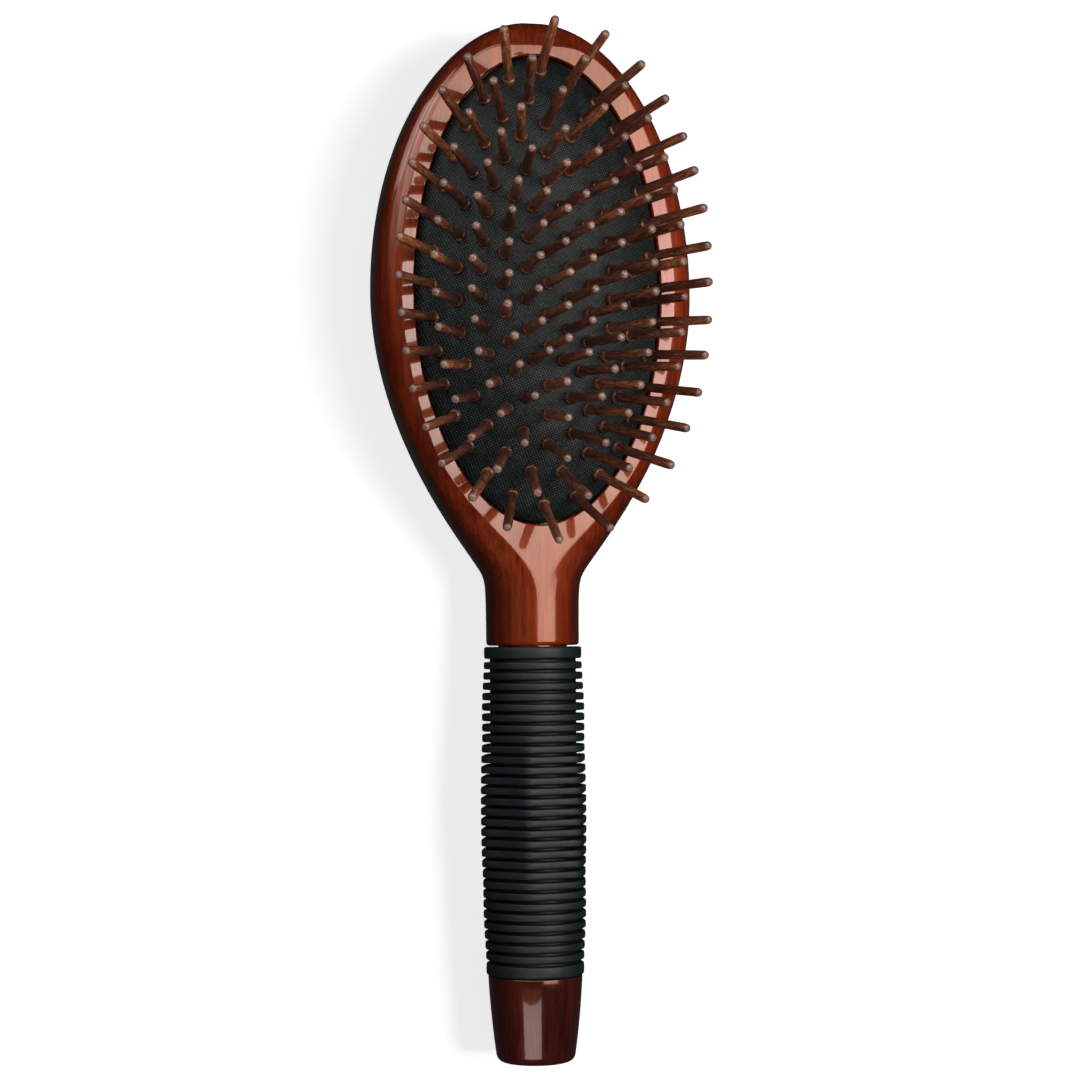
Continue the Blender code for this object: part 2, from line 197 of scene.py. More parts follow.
def body_half_section(sizes, side_points=70):
    """Points down one side, from the flat's edge by the side to the middle of the back.

    The first value is where the flat ends, as a distance from the middle.
    """
    half_width, rise, depth, rise_power, depth_power = sizes
    face_half = 0.0
    if rise > neck_half_height:
        face_half = half_width * (1 - (neck_half_height / rise) ** rise_power) ** (1 / rise_power)
    start = max(face_half - crease_margin, 0)
    crease = max(face_half - start, min(least_crease, half_width / crease_fraction))
    across = np.linspace(0, 1, upper_samples)
    upper_x = half_width * np.sin(across * math.pi / 2) ** (2 / rise_power)
    upper_z = rise * np.cos(across * math.pi / 2) ** (2 / rise_power)
    fine_end = min(start + fine_width, half_width * widest_fine_share)
    fine_x = np.linspace(start, fine_end, fine_samples)
    fine_z = rise * (1 - (fine_x / half_width) ** rise_power) ** (1 / rise_power)
    keep = upper_x > fine_x[-1]
    lower = np.linspace(0, math.pi / 2, lower_samples)[1:]
    lower_x = half_width * np.cos(lower).clip(0) ** (2 / depth_power)
    lower_z = -depth * np.sin(lower) ** (2 / depth_power)
    x = np.concatenate([fine_x, upper_x[keep], lower_x])
    z = np.concatenate([fine_z, upper_z[keep], lower_z])
    z = soft_min(z, neck_half_height, crease_depth)
    z = -soft_min(-z, axis_z, crease_depth)
    along = np.concatenate([[0], np.cumsum(np.hypot(np.diff(x), np.diff(z)))])
    near = [crease * i / crease_steps for i in range(crease_steps + 1)]
    near += [crease + further for further in past_crease]
    scale = min(1, along[-1] * most_near_share / near[-1])
    near = [place * scale for place in near]
    count = np.arange(1, side_points + 1)
    level = (start + along[-1]) * count / side_points - start
    steps = np.concatenate([near, np.maximum(near[-1] + least_step * scale * count, level)])
    return start, np.interp(steps, along, x), np.interp(steps, along, z)


def body_rings():
    """The body's sections as (reach, section), from the tip to the end of the spigot."""
    reaches = [-tip_reach * math.sin(math.radians(turn)) for turn in tip_turns]
    reaches += flat_start_reaches + head_reaches + neck_reaches
    rings = [(reach, body_half_section(body_sizes(reach))) for reach in reaches
             if reach < neck_end - neck_edge_radius]
    width, rise, depth, *powers = body_sizes(neck_end)
    for back, inset in quarter_round(neck_edge_radius, edge_steps):
        section = body_half_section((width - inset, rise - inset, depth - inset, *powers))
        rings.append((neck_end - back, section))
    for reach, radius in ((neck_end, core_radius), (core_end, core_radius),
                          (core_end, spigot_radius), (core_end + spigot_length, spigot_radius)):
        rings.append((reach, body_half_section((radius, radius, radius, 2, 2))))
    return rings


def add_skin(work):
    """Adds the body's outside without its flat face and returns the points round that face."""
    right_edge, left_edge, loops = [], [], []
    for reach, (start, x, z) in body_rings():
        y = head_y - reach
        right = [work.verts.new((a * mm, y * mm, (axis_z + b) * mm)) for a, b in zip(x, z)]
        left = [work.verts.new((-a * mm, y * mm, (axis_z + b) * mm))
                for a, b in zip(x[:-1], z[:-1])]
        if start < 1e-6:
            # There is no flat here, so both sides start at one point.
            work.verts.remove(left[0])
            left[0] = right[0]
        loops.append(right + left[::-1])
        right_edge.append(right[0])
        left_edge.append(left[0])
    for loop, following in zip(loops, loops[1:]):
        for j in range(len(loop) - 1):
            corners = [loop[j], loop[j + 1], following[j + 1], following[j]]
            corners = list(dict.fromkeys(corners))
            if len(corners) > 2:
                work.faces.new(corners)
    for loop in (loops[0], loops[-1]):
        work.faces.new(list(dict.fromkeys(loop)))
    return right_edge + left_edge[::-1]


def add_recess(work):
    """Adds the lip, the groove and the chamber and returns the points round the opening."""
    ledge_depth = lip_depth + groove_height
    profile = quarter_round(lip_radius, edge_steps)
    profile += [(0, lip_depth), (groove_reach, lip_depth), (groove_reach, ledge_depth),
                (-ledge_width, ledge_depth), (-ledge_width, ledge_depth + chamber_below_ledge)]
    loops = []
    for outset, down in profile:
        loop = []
        for j in range(opening_sides):
            turn = math.tau * j / opening_sides
            x = (opening_half_width + outset) * math.sin(turn)
            y = head_y + (opening_half_length + outset) * math.cos(turn)
            loop.append(work.verts.new((x * mm, y * mm, (rim_z - down) * mm)))
        loops.append(loop)
    for loop, following in zip(loops, loops[1:]):
        for j in range(opening_sides):
            k = (j + 1) % opening_sides
            work.faces.new((loop[j], loop[k], following[k], following[j]))
    work.faces.new(loops[-1])
    return loops[0]


def open_edges(work, path):
    """The edges along a path of points that belong to only one face."""
    edges = [work.edges.get((a, b)) for a, b in zip(path, path[1:]) if a != b]
    return [edge for edge in edges if edge is not None and len(edge.link_faces) == 1]


def make_body():
    work = bmesh.new()
    face_rim = add_skin(work)
    lip = add_recess(work)
    edges = open_edges(work, face_rim) + open_edges(work, lip + lip[:1])
    bmesh.ops.triangle_fill(work, use_beauty=True, edges=edges)
    mesh = bpy.data.meshes.new("body")
    work.to_mesh(mesh)
    work.free()
    body = finish_piece("lacquered_body", mesh, 45)
    weigh = body.modifiers.new("weighted_normals", "WEIGHTED_NORMAL")
    weigh.keep_sharp = True
    return body


# Grip: a collar, ribs and an end band with rounded corners, and grooves with softened feet
# between them, at these shares of their width
grip_sides = 120
groove_shares, groove_foot_rise = (0, 0.2, 0.8, 1), 0.12
rib_corner, band_corner, rib_corner_steps, rib_bulge = 0.30, 0.45, 4, 0.03


def grip_flatness(share):
    return smoothstep((min(share, 1 - share) - facet_start) / facet_run)


def grip_profile():
    """The sleeve's outline, as (radius, reach, flatness of its facets)."""
    profile = [(bore_radius, grip_start, 0)]
    reach = grip_start
    widths = [collar_width] + [rib_width] * rib_count + [end_band_width]
    for i, width in enumerate(widths):
        share = clamp((i - 0.5) / rib_count)
        radius = band_radius + grip_swell * math.sin(math.pi * share)
        flatness = grip_flatness(share)
        if i > 0:
            for place in groove_shares:
                rise = 0.0 if 0 < place < 1 else groove_foot_rise
                profile.append((band_radius - rib_depth + rise, reach + rib_spacing * place, 0))
            reach += rib_spacing
        is_rib = 0 < i <= rib_count
        corner = quarter_round(rib_corner if is_rib else band_corner, rib_corner_steps)
        profile += [(radius - inset, reach + run, flatness) for inset, run in corner]
        profile.append((radius + rib_bulge, reach + width / 2, flatness))
        profile += [(radius - inset, reach + width - run, flatness)
                    for inset, run in reversed(corner)]
        reach += width
    profile.append((bore_radius, reach, 0))
    return profile


def make_grip():
    profile = grip_profile()
    points = []
    for radius, reach, flatness in profile:
        for i in range(grip_sides):
            turn = facet_turn + math.tau * i / grip_sides
            middles = [turn - facet_turn - math.tau * (j + 0.5) / facet_count
                       for j in range(facet_count // 2)]
            flats = sum(abs(math.cos(middle)) ** facet_power for middle in middles)
            flattened = facet_radius * flats ** (-1 / facet_power)
            reached = radius * (1 + flatness * (flattened - 1))
            points.append((reached * math.sin(turn), head_y - reach,
                           axis_z + reached * math.cos(turn)))
    faces = ring_faces(len(profile), grip_sides, closed_rings=True)
    return finish_piece("rubber_grip", new_mesh("rubber_grip", points, faces), 50)


# End cap. Its edge reaches up over the core, which closes the seam below the grip.
cap_edge, cap_edge_radius = 0.45, 0.3
cap_sides, cap_side_steps, cap_edge_steps, cap_corner_steps = 112, 20, 3, 8


def make_cap():
    bore_end, top = core_end + spigot_length + gap, cap_start - cap_edge
    profile = [(0, bore_end), (spigot_radius + gap, bore_end), (spigot_radius + gap, cap_start),
               (core_radius + gap, cap_start), (core_radius + gap, top)]
    profile += [(cap_radius - inset, top + run)
                for inset, run in quarter_round(cap_edge_radius, cap_edge_steps)]
    side = cap_length - cap_corner
    for i in range(2, cap_side_steps + 1):
        share = i / cap_side_steps
        taper = cap_taper * ((1 - cap_swell) * share + cap_swell * share**2)
        profile.append((cap_radius - taper, cap_start + side * share))
    profile += [(cap_radius - cap_taper - inset, cap_end - rise)
                for rise, inset in quarter_round(cap_corner, cap_corner_steps)[1:]]
    profile.append((0, cap_end))
    points = []
    for radius, reach in profile:
        for i in range(cap_sides):
            turn = math.tau * i / cap_sides
            points.append((radius * math.sin(turn), head_y - reach,
                           axis_z + radius * math.cos(turn)))
    faces = ring_faces(len(profile), cap_sides)
    return finish_piece("lacquered_cap", new_mesh("lacquered_cap", points, faces), 40)


# Cushion. Its rings stand closer at the edge, which dives behind the wood's lip, and it has a
# dimple round each pin.
cushion_sides, cushion_rings, ring_power = 420, 78, 1.15
dimple_depth, dimple_radius = 0.34, 1.9
edge_dive, edge_dive_width, edge_inset = 1.5, 0.75, 0.4
turn_samples = 721


def crown_point(inset, turn):
    """A point of the cushion's surface in millimetres.

    The inset is its share of the way in from the opening's edge.
    """
    return Vector((-opening_half_width * (1 - inset) * math.sin(turn),
                   head_y + (opening_half_length - crown_pull_in * inset) * math.cos(turn),
                   rim_z + crown_height * (1 - (1 - inset) ** crown_power)))


def crown_normal(inset, turn):
    inwards = Vector((opening_half_width * math.sin(turn), -crown_pull_in * math.cos(turn),
                      crown_height * crown_power * (1 - inset) ** (crown_power - 1)))
    around = Vector((-opening_half_width * (1 - inset) * math.cos(turn),
                     -(opening_half_length - crown_pull_in * inset) * math.sin(turn), 0))
    normal = around.cross(inwards).normalized()
    return normal if normal.z > 0 else -normal


def turns_along(inset, shares):
    """Turns at these shares of the way round one oval of the cushion, from the tip by the left."""
    turns = np.linspace(-math.pi, math.tau, turn_samples)
    x = opening_half_width * (1 - inset) * np.sin(turns)
    y = (opening_half_length - crown_pull_in * inset) * np.cos(turns)
    along = np.concatenate([[0], np.cumsum(np.hypot(np.diff(x), np.diff(y)))])
    start = np.interp(0, turns, along)
    return np.interp(start + np.asarray(shares) * (along[-1] - start), along, turns)


def pin_places():
    """The pins of each row's four parts and of the middle row, by the name of their solid.

    Each pin is an inset and a turn.
    """
    places = {}
    row_step = (opening_half_width - row_inset) / len(pins_per_row)
    for row, count in enumerate(pins_per_row):
        tip_pins = tip_pins_per_row[row]
        stagger = 0 if tip_pins % 2 else 0.5
        inset = (row_inset + row * row_step) / opening_half_width
        ends = [-tip_pins / 2, tip_pins / 2, (count - tip_pins) / 2, (count + tip_pins) / 2,
                count - tip_pins / 2]
        for side, low, high in zip(("tip", "left", "neck", "right"), ends, ends[1:]):
            numbers = [i + stagger for i in range(-count // 2, count) if low < i + stagger < high]
            turns = turns_along(inset, [number / count for number in numbers])
            places[f"pin_row_{row + 1}_{side}"] = [(inset, turn) for turn in turns]
    spacing = 2 * (ridge_half_length - middle_end_inset) / (middle_pins - 1)
    middle = [spacing * (i - (middle_pins - 1) / 2) for i in range(middle_pins)]
    places["pin_row_middle"] = [(1, math.acos(y / ridge_half_length)) for y in middle]
    return places


def make_cushion(places):
    """The whole rubber sheet in one piece: upper face, under face and edge."""
    feet = [crown_point(inset, turn)[:2] for pins in places.values() for inset, turn in pins]
    turns = turns_along(0, np.arange(cushion_sides) / cushion_sides)
    insets = (np.arange(cushion_rings) / (cushion_rings - 1)) ** ring_power
    points = np.array([crown_point(inset, turn)[:] for inset in insets for turn in turns])
    away = np.full(len(points), np.inf)
    for x, y in feet:
        away = np.minimum(away, np.hypot(points[:, 0] - x, points[:, 1] - y))
    points[:, 2] -= dimple_depth * np.exp(-((away / dimple_radius) ** 2))
    from_edge = np.repeat(insets * opening_half_width, cushion_sides)
    points[:, 2] -= edge_dive * np.exp(-((from_edge / edge_dive_width) ** 2))
    under = points.copy()
    under[:, 2] -= cushion_thickness
    foot, low = points[:cushion_sides].copy(), points[:cushion_sides].copy()
    foot[:, 2] = rim_z - lip_depth - groove_height + gap
    low[:, 2] = rim_z - lip_depth
    for loop in (foot, low, points[:cushion_sides]):
        loop[:, 0] *= 1 - edge_inset / opening_half_width
        loop[:, 1] = head_y + (loop[:, 1] - head_y) * (1 - edge_inset / opening_half_length)
    under_loops, upper_loops = np.split(under, cushion_rings), np.split(points, cushion_rings)
    loops = under_loops[:0:-1] + [foot, low] + upper_loops
    faces = ring_faces(len(loops), cushion_sides)
    return finish_piece("cushion", new_mesh("cushion", np.concatenate(loops), faces), 80)


# Pins. The outline is (radius, height above the foot): a collar, a shaft that tapers a little
# and a rounded end. Each pin has its own slight lean, thickness and unevenness.
pin_profile = (
    (1.30, -0.9), (1.50, -0.45), (1.55, 0.0), (1.55, 0.72), (1.50, 0.93), (1.40, 1.05),
    (1.24, 1.13), (1.15, 1.25), (1.11, 1.6), (1.10, 3), (1.09, 7), (1.07, 12), (1.06, 16.2),
    (1.05, 17.5), (1.02, 17.9), (0.95, 18.24), (0.83, 18.50), (0.66, 18.68), (0.45, 18.77),
    (0.22, 18.80), (0, 18.80))
pin_sides, pin_sink = 20, 0.25
lean_spread = 0.011
thinnest, thickest = 0.97, 1.04
swell_share, swell_turn = 0.02, 0.55
most_wobble, wobble_share, wobble_turn = 0.05, 0.4, 0.1
grain_range = (50, 50, 400)


def make_pins(node, pins, dice):
    """The turned wooden pins of one part of a row.

    Each point keeps its place in the grain, with its distance from the pin's end as Z.
    """
    lengths = [pin_profile[0][1]]
    for (radius, height), (next_radius, next_height) in zip(pin_profile, pin_profile[1:]):
        lengths.append(lengths[-1] + math.hypot(next_radius - radius, next_height - height))
    ends = [length - lengths[-1] for length in lengths]
    points, faces, grain = [], [], []
    for inset, turn in pins:
        normal = crown_normal(inset, turn)
        normal = (normal + Vector([dice.gauss(0, lean_spread) for _ in range(3)])).normalized()
        spin = Matrix.Rotation(dice.uniform(0, math.tau), 3, "Z")
        lean = Vector((0, 0, 1)).rotation_difference(normal).to_matrix() @ spin
        foot = crown_point(inset, turn) - normal * pin_sink
        thick = dice.uniform(thinnest, thickest)
        wobble, phase = dice.uniform(0.0, most_wobble), dice.uniform(0, math.tau)
        offset = Vector([dice.uniform(0, furthest) for furthest in grain_range])
        first = len(points)
        for (radius, height), end in zip(pin_profile, ends):
            swell = thick * (1 + swell_share * math.sin(height * swell_turn + phase))
            for i in range(pin_sides):
                around = math.tau * i / pin_sides
                wave = math.sin(2 * around + phase + height * wobble_turn)
                uneven = 1 + wobble * wobble_share * wave
                place = Vector((radius * swell * uneven * math.cos(around),
                                radius * swell * uneven * math.sin(around), height))
                points.append((foot + lean @ place)[:])
                grain.append((place.x + offset.x, place.y + offset.y, end))
        faces += ring_faces(len(pin_profile), pin_sides, first)
        faces.append(tuple(range(first, first + pin_sides)))
    mesh = new_mesh(node, points, faces)
    values = mesh.attributes.new("grain_place", "FLOAT_VECTOR", "POINT")
    values.data.foreach_set("vector", np.array(grain, np.float32).ravel())
    return finish_piece(node.replace("pin_row", "pins"), mesh, 60)


# Materials. The Mix node's colour sockets share their names with its number sockets, so they are
# picked by their numbers.
mix_factor, mix_a, mix_b, mix_result = 0, 6, 7, 2


def add(tree, kind, inputs=None, **settings):
    node = tree.nodes.new(kind)
    for key, value in settings.items():
        setattr(node, key, value)
    for key, value in (inputs or {}).items():
        if isinstance(value, bpy.types.NodeSocket):
            tree.links.new(value, node.inputs[key])
        else:
            node.inputs[key].default_value = value
    return node


def new_shader(name, **values):
    material = bpy.data.materials.new(name)
    material.use_nodes = True
    tree = material.node_tree
    shader = tree.nodes["Principled BSDF"]
    for key, value in values.items():
        shader.inputs[key.replace("_", " ")].default_value = value
    return material, tree, shader


def object_place(tree):
    return add(tree, "ShaderNodeTexCoord").outputs["Object"]


def split(tree, place):
    return add(tree, "ShaderNodeSeparateXYZ", {"Vector": place}).outputs


def ramp(tree, source, stops):
    node = add(tree, "ShaderNodeValToRGB", {"Fac": source})
    while len(node.color_ramp.elements) < len(stops):
        node.color_ramp.elements.new(0.5)
    for element, (place, colour) in zip(node.color_ramp.elements, stops):
        element.position = place
        element.color = (*colour, 1)
    return node.outputs["Color"]


def share_between(tree, value, low, high):
    """How far a value has come from low to high, from 0 to 1."""
    return add(tree, "ShaderNodeMapRange", {"Value": value, "From Min": low,
                                            "From Max": high}).outputs["Result"]


def stretched(tree, place, scale):
    return add(tree, "ShaderNodeMapping", {"Vector": place, "Scale": scale}).outputs["Vector"]


def noise_at(tree, place, scale, detail, roughness=0.55, distortion=0.0):
    return add(tree, "ShaderNodeTexNoise",
               {"Vector": place, "Scale": scale, "Detail": detail, "Roughness": roughness,
                "Distortion": distortion}).outputs["Fac"]


def mixed(tree, factor, a, b, mode="MIX"):
    node = add(tree, "ShaderNodeMix", data_type="RGBA", blend_type=mode)
    for index, value in ((mix_factor, factor), (mix_a, a), (mix_b, b)):
        if isinstance(value, bpy.types.NodeSocket):
            tree.links.new(value, node.inputs[index])
        else:
            node.inputs[index].default_value = value if index == mix_factor else (*value, 1)
    return node.outputs[mix_result]


def maths(tree, operation, a, b=0):
    return add(tree, "ShaderNodeMath", {0: a, 1: b}, operation=operation).outputs[0]


def bumped(tree, height, strength, distance):
    return add(tree, "ShaderNodeBump", {"Height": height, "Strength": strength,
                                        "Distance": distance}).outputs["Normal"]


def brightness_along(tree, colour, place, axis, levels):
    """The colour, brighter or darker along an axis: its levels are (millimetres, brightness)."""
    low, high = levels[0][0], levels[-1][0]
    share = share_between(tree, split(tree, place)[axis], low * mm, high * mm)
    brightest = max(level for _, level in levels)
    stops = [((at - low) / (high - low), (level / brightest,) * 3) for at, level in levels]
    brightness_scale = mixed(tree, 1.0, ramp(tree, share, stops), (brightest,) * 3, "MULTIPLY")
    return mixed(tree, 1.0, colour, brightness_scale, "MULTIPLY")


def lacquered_wood(name, dark, middle, light, streak, painted_shade_by_height=None, by_length=None):
    """Glossy tinted wood under a clear lacquer.

    It has broad bands, fine lengthwise grain and short dark pores. It can be made darker
    towards the bottom, which paints shade on the wood's sides, and darker or brighter along the
    brush: lists of (millimetres, brightness).
    """
    material, tree, shader = new_shader(
        name, Roughness=0.24, Coat_Weight=0.75, Coat_Roughness=0.03, Coat_IOR=1.5,
        Specular_IOR_Level=0.5, Specular_Tint=(1.0, 0.36, 0.18, 1))
    place = object_place(tree)
    bands = noise_at(tree, stretched(tree, place, (1, 0.10, 1)), scale=95, detail=4,
                     roughness=0.5, distortion=0.6)
    fibres = noise_at(tree, stretched(tree, place, (1, 0.035, 1)), scale=900, detail=5,
                      roughness=0.62, distortion=0.25)
    pores = noise_at(tree, stretched(tree, place, (1, 0.07, 1)), scale=2400, detail=2,
                     roughness=0.5)
    colour = ramp(tree, bands, [(0.30, dark), (0.52, middle), (0.75, light)])
    fine = ramp(tree, fibres, [(0.32, streak), (0.50, (0.75, 0.75, 0.75)),
                               (0.70, (1.25, 1.2, 1.1))])
    colour = mixed(tree, 0.85, colour, fine, "MULTIPLY")
    specks = ramp(tree, pores, [(0.30, (0.35, 0.3, 0.3)), (0.40, (1, 1, 1))])
    colour = mixed(tree, 0.7, colour, specks, "MULTIPLY")
    for axis, levels in (("Z", painted_shade_by_height), ("Y", by_length)):
        if levels:
            colour = brightness_along(tree, colour, place, axis, levels)
    tree.links.new(colour, shader.inputs["Base Color"])
    height = maths(tree, "ADD", fibres, maths(tree, "MULTIPLY", pores, 0.5))
    tree.links.new(bumped(tree, height, strength=0.35, distance=0.00012), shader.inputs["Normal"])
    ripple = maths(tree, "ADD", maths(tree, "MULTIPLY", height, 0.6),
                   noise_at(tree, place, scale=1500, detail=3, roughness=0.6))
    tree.links.new(bumped(tree, ripple, strength=0.10, distance=0.00003),
                   shader.inputs["Coat Normal"])
    return material


def pin_wood():
    """Brown turned wood with streaks and specks along the pin.

    It is darker towards its foot and paler towards its end: painted shade among the
    neighbouring pins and painted light towards the tip. Near its end it has a pale rounded edge,
    partly pale end grain and partly a painted highlight, and a darker flat inside it, partly dark
    end grain and partly a painted dark reflection. The distances from the end are in millimetres.
    """
    material, tree, shader = new_shader("pin_wood", Roughness=0.40, Coat_Weight=0.45,
                                        Coat_Roughness=0.14, Specular_IOR_Level=0.45)
    place = add(tree, "ShaderNodeAttribute", attribute_name="grain_place").outputs["Vector"]
    tone = noise_at(tree, stretched(tree, place, (0.11, 0.13, 0.004)), scale=1.0, detail=1)
    streaks = noise_at(tree, stretched(tree, place, (1.9, 1.9, 0.30)), scale=1.0, detail=5,
                       roughness=0.7, distortion=0.8)
    specks = noise_at(tree, stretched(tree, place, (3.6, 3.6, 1.5)), scale=1.0, detail=3,
                      roughness=0.7)
    colour = ramp(tree, streaks, [(0.33, (0.036, 0.014, 0.011)), (0.46, (0.125, 0.043, 0.024)),
                                  (0.57, (0.235, 0.090, 0.043)), (0.70, (0.46, 0.23, 0.108))])
    shade = ramp(tree, tone, [(0.38, (0.62, 0.43, 0.50)), (0.50, (0.95, 0.88, 0.85)),
                              (0.62, (1.6, 1.5, 1.25))])
    colour = mixed(tree, 1.0, colour, shade, "MULTIPLY")
    pits = ramp(tree, specks, [(0.36, (0.40, 0.33, 0.30)), (0.46, (1, 1, 1)),
                               (0.66, (1.5, 1.45, 1.3))])
    colour = mixed(tree, 0.8, colour, pits, "MULTIPLY")
    from_end = split(tree, place)["Z"]
    # Painted shade and light along each pin: darker at its foot among the neighbouring pins, paler
    # towards its tip.
    along = share_between(tree, from_end, -20, 0)
    painted_light_and_shade_along_pin = ramp(tree, along, [(0, (0.36, 0.34, 0.34)), (0.45, (0.48, 0.46, 0.46)),
                                (0.85, (0.78, 0.73, 0.72))])
    painted_light_and_shade_along_pin = mixed(tree, 1.0, painted_light_and_shade_along_pin, (2, 2, 2), "MULTIPLY")
    colour = mixed(tree, 1.0, colour, painted_light_and_shade_along_pin, "MULTIPLY")
    # Pale band at the rounded end: partly pale end grain, partly a painted highlight.
    edge = share_between(tree, from_end, -1.6, -0.8)
    end_grain_and_highlight = ramp(tree, specks, [(0.36, (0.12,) * 3), (0.60, (0.8,) * 3)])
    colour = mixed(tree, maths(tree, "MULTIPLY", edge, end_grain_and_highlight), colour, (0.40, 0.30, 0.255))
    # Darker flat end face: partly dark end grain, partly a painted dark reflection.
    flat = share_between(tree, from_end, -0.62, -0.42)
    colour = mixed(tree, maths(tree, "MULTIPLY", flat, 0.2), colour, (0.06, 0.03, 0.022))
    tree.links.new(colour, shader.inputs["Base Color"])
    height = maths(tree, "ADD", streaks, maths(tree, "MULTIPLY", specks, 0.6))
    tree.links.new(bumped(tree, height, strength=0.6, distance=0.00014), shader.inputs["Normal"])
    return material


def grip_rubber():
    """Matte charcoal rubber, with painted shade in the grooves between the ribs."""
    material, tree, shader = new_shader("grip_rubber", Roughness=0.52, Specular_IOR_Level=0.34)
    place = object_place(tree)
    broad = noise_at(tree, place, scale=220, detail=3, roughness=0.5)
    grains = noise_at(tree, place, scale=5200, detail=2, roughness=0.5)
    colour = ramp(tree, broad, [(0.3, (0.0066, 0.0125, 0.0138)), (0.7, (0.0112, 0.0200, 0.0218))])
    axes = split(tree, place)
    height = maths(tree, "SUBTRACT", axes["Z"], axis_z * mm)
    radius = maths(tree, "SQRT", maths(tree, "ADD", maths(tree, "MULTIPLY", height, height),
                                       maths(tree, "MULTIPLY", axes["X"], axes["X"])))
    # Painted shade in the grooves: the rubber turns near black below the ribs' tops.
    groove_shade_mask = share_between(tree, radius, (band_radius - 0.9) * mm, (band_radius - 0.35) * mm)
    colour = mixed(tree, groove_shade_mask, (0.0025, 0.0032, 0.0034), colour)
    tree.links.new(colour, shader.inputs["Base Color"])
    tree.links.new(ramp(tree, grains, [(0.3, (0.44,) * 3), (0.7, (0.6,) * 3)]),
                   shader.inputs["Roughness"])
    tree.links.new(bumped(tree, grains, strength=0.25, distance=0.00004),
                   shader.inputs["Normal"])
    return material


def woven_rubber():
    """Charcoal rubber with a fine woven face, its gaps in painted shade and its crests in painted
    highlights.
    """
    material, tree, shader = new_shader("woven_rubber", Roughness=0.5, Specular_IOR_Level=0.24)
    pitch, weave_turn = 0.00056, math.radians(-24)
    place = object_place(tree)
    turned = add(tree, "ShaderNodeMapping", {"Vector": place, "Rotation": (0, 0, weave_turn)})
    axes = split(tree, turned.outputs["Vector"])
    waves = []
    for axis in "XY":
        wave = maths(tree, "SINE", maths(tree, "MULTIPLY", axes[axis], math.tau / pitch))
        waves.append(maths(tree, "ADD", maths(tree, "MULTIPLY", wave, 0.5), 0.5))
    height = maths(tree, "MULTIPLY", *waves)
    # The weave's pattern, with painted shade in the gaps between threads and painted highlights on
    # their crests.
    colour = ramp(tree, height, [(0.05, (0.0038, 0.0052, 0.0055)), (0.35, (0.009, 0.0138, 0.0145)),
                                 (0.95, (0.086, 0.122, 0.124))])
    cloudy = noise_at(tree, place, scale=130, detail=3, roughness=0.5)
    clouds = ramp(tree, cloudy, [(0.3, (0.8,) * 3), (0.7, (1.15,) * 3)])
    colour = mixed(tree, 1.0, colour, clouds, "MULTIPLY")
    uneven = noise_at(tree, place, scale=1700, detail=1, roughness=0.5)
    threads = ramp(tree, uneven, [(0.35, (0.55, 0.55, 0.6)), (0.65, (1.4, 1.4, 1.35))])
    colour = mixed(tree, 1.0, colour, threads, "MULTIPLY")
    tree.links.new(colour, shader.inputs["Base Color"])
    tree.links.new(bumped(tree, height, strength=0.5, distance=0.00012), shader.inputs["Normal"])
    return material


def wear(piece, material):
    piece.data.materials.clear()
    piece.data.materials.append(material)


# Build
# Painted shade: the mahogany is darker towards the bottom, on the sides of the head and neck.
# Along the brush it is darker at the neck and at the tip.
mahogany = lacquered_wood(
    "mahogany", dark=(0.22, 0.021, 0.005), middle=(0.37, 0.041, 0.010),
    light=(0.52, 0.078, 0.017), streak=(0.40, 0.30, 0.28),
    painted_shade_by_height=[(15, 0.16), (18, 0.35), (20.2, 0.80), (21.3, 1)],
    by_length=[(-25, 0.80), (10, 0.72), (35, 0.95), (60, 1.12), (90, 0.95), (118, 0.7)])
dark_lacquer = lacquered_wood(
    "dark_lacquer", dark=(0.026, 0.0036, 0.0026), middle=(0.064, 0.0082, 0.0062),
    light=(0.12, 0.015, 0.012), streak=(0.45, 0.35, 0.35))

body = make_body()
wear(body, mahogany)
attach(body, "brush_body")
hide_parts("wooden_body")

grip = make_grip()
wear(grip, grip_rubber())
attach(grip, "brush_body")
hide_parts("grip_sleeve")

cap = make_cap()
wear(cap, dark_lacquer)
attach(cap, "brush_body")
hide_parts("end_cap")

places = pin_places()
cushion = make_cushion(places)
wear(cushion, woven_rubber())
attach(cushion, "brush_body")
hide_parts("cushion_edge")
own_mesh(cushion)

dice = random.Random(11)
wood_of_pins = pin_wood()
bodies = frame["record"]["behaviour"]["bodies"]
body_of_node = {node: name for name, nodes in bodies.items() for node in nodes}
for node, pins in places.items():
    row = make_pins(node, pins, dice)
    wear(row, wood_of_pins)
    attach(row, body_of_node[node])
    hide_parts(node)

# Camera, at the photograph's angle: its turns in degrees, and its place from the middle of the
# opening along its own axes, in millimetres
camera_roll, camera_tilt, camera_turn = 0.5, -2.1, 13.2
camera_offset = (0.298, -57.806, 600)
sensor_width, focal_pixels, photo_pixels = 36, 2607, 1080


def turn_about(axis, degrees):
    return Matrix.Rotation(math.radians(degrees), 3, axis)


view = turn_about("Z", camera_roll) @ turn_about("X", camera_tilt) @ turn_about("Y", camera_turn)
camera = bpy.data.objects.new("camera", bpy.data.cameras.new("camera"))
bpy.context.scene.collection.objects.link(camera)
camera.data.sensor_width = sensor_width
camera.data.lens = sensor_width * focal_pixels / photo_pixels
camera.data.clip_start, camera.data.clip_end = 0.05, 20
stand = view.transposed() @ Vector(camera_offset) + Vector((0, head_y, rim_z))
camera.matrix_world = Matrix.Translation(stand * mm) @ view.transposed().to_4x4()
bpy.context.scene.camera = camera


